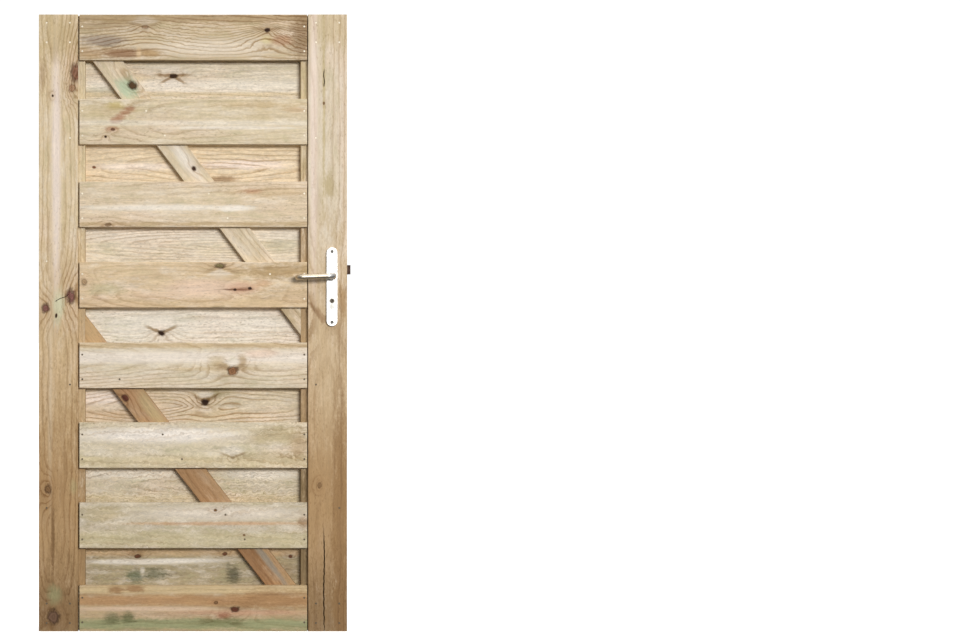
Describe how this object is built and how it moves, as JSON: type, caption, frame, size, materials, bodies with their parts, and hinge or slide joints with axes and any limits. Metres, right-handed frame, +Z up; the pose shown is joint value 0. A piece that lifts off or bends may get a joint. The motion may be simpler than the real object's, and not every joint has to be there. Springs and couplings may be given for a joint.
{
  "type": "garden gate leaf",
  "caption": "Garden gate leaf of softwood boards on a braced core, boarded on both faces, with a mortise lock, round-ended lock plates, lever handles and a profile cylinder.",
  "frame": {"origin": "middle of the leaf's bottom edge, halfway through its thickness; the latch stands out past the leaf on +X and is not counted", "axes": "+Z up, +X towards the lock edge, +Y towards the back face"},
  "size_m": [0.9125, 0.187, 1.8],
  "materials": {
    "planed_board": "planed softwood, pressure treated",
    "stile_board": "planed softwood, pressure treated",
    "core_timber": "planed softwood, pressure treated",
    "nail_steel": "galvanised wire nails, dulled",
    "satin_aluminium": "satin anodised",
    "grey_plastic": "moulded",
    "zinc_steel": "zinc plated",
    "case_steel": "pressed, zinc plated",
    "dark_bolt": "dark, semi-matt",
    "spring_steel": "drawn wire",
    "nickel_brass": "satin nickel on brass"
  },
  "bodies": {
    "leaf": {"front_board_1": "planed_board", "front_board_2": "planed_board", "front_board_3": "planed_board", "front_board_4": "planed_board", "front_board_5": "planed_board", "front_board_6": "planed_board", "front_board_7": "planed_board", "front_board_8": "planed_board", "back_board_1": "planed_board", "back_board_2": "planed_board", "back_board_3": "planed_board", "back_board_4": "planed_board", "back_board_5": "planed_board", "back_board_6": "planed_board", "back_board_7": "planed_board", "front_stile_left": "stile_board", "front_stile_right": "stile_board", "back_stile_left": "stile_board", "back_stile_right": "stile_board", "core_rail_top": "core_timber", "core_rail_bottom": "core_timber", "core_upright_left": "core_timber", "core_upright_right": "core_timber", "brace_upper": "core_timber", "brace_lower": "core_timber", "front_board_nails": "nail_steel", "back_board_nails": "nail_steel", "front_stile_nails": "nail_steel", "back_stile_nails": "nail_steel", "front_lock_plate": "satin_aluminium", "back_lock_plate": "satin_aluminium", "front_bush": "grey_plastic", "back_bush": "grey_plastic", "plate_screws": "zinc_steel", "sleeve_nuts": "zinc_steel", "lock_forend": "zinc_steel", "lock_case": "case_steel", "lock_cover": "case_steel", "cover_screws": "zinc_steel", "forend_screws": "zinc_steel", "hub_spring": "spring_steel", "latch_spring": "spring_steel", "cylinder_body": "nickel_brass", "cylinder_screw": "zinc_steel"},
    "handle": {"front_lever": "satin_aluminium", "back_lever": "satin_aluminium", "spindle": "zinc_steel", "lever_grub_screws": "zinc_steel", "follower_hub": "case_steel"},
    "latch": {"latch_bolt": "dark_bolt"},
    "key": {"front_plug": "nickel_brass", "back_plug": "nickel_brass", "cylinder_cam": "case_steel"},
    "bolt": {"deadbolt": "dark_bolt"}
  },
  "joints": [
    {"name": "handle_turn", "type": "hinge", "parent": "leaf", "child": "handle", "pos_m": [0.405, 0, 1.036], "axis": [0, -1, 0], "range_deg": [0, 40], "stiffness_Nm_per_rad": 1, "springref_deg": -34.38, "deforming": ["hub_spring"]},
    {"name": "latch_slide", "type": "slide", "parent": "leaf", "child": "latch", "axis": [-1, 0, 0], "range_m": [0, 0.012], "deforming": ["latch_spring"]},
    {"name": "key_turn", "type": "hinge", "parent": "leaf", "child": "key", "pos_m": [0.405, 0, 0.964], "axis": [0, 1, 0], "range_deg": [0, 360]},
    {"name": "deadbolt_slide", "type": "slide", "parent": "leaf", "child": "bolt", "axis": [1, 0, 0], "range_m": [0, 0.02]}
  ],
  "couplings": [
    {"joint": "latch_slide", "follows": "handle_turn", "m_per_rad": 0.01718},
    {"joint": "key_turn", "follows": "deadbolt_slide", "rad_per_m": 314.1}
  ]
}
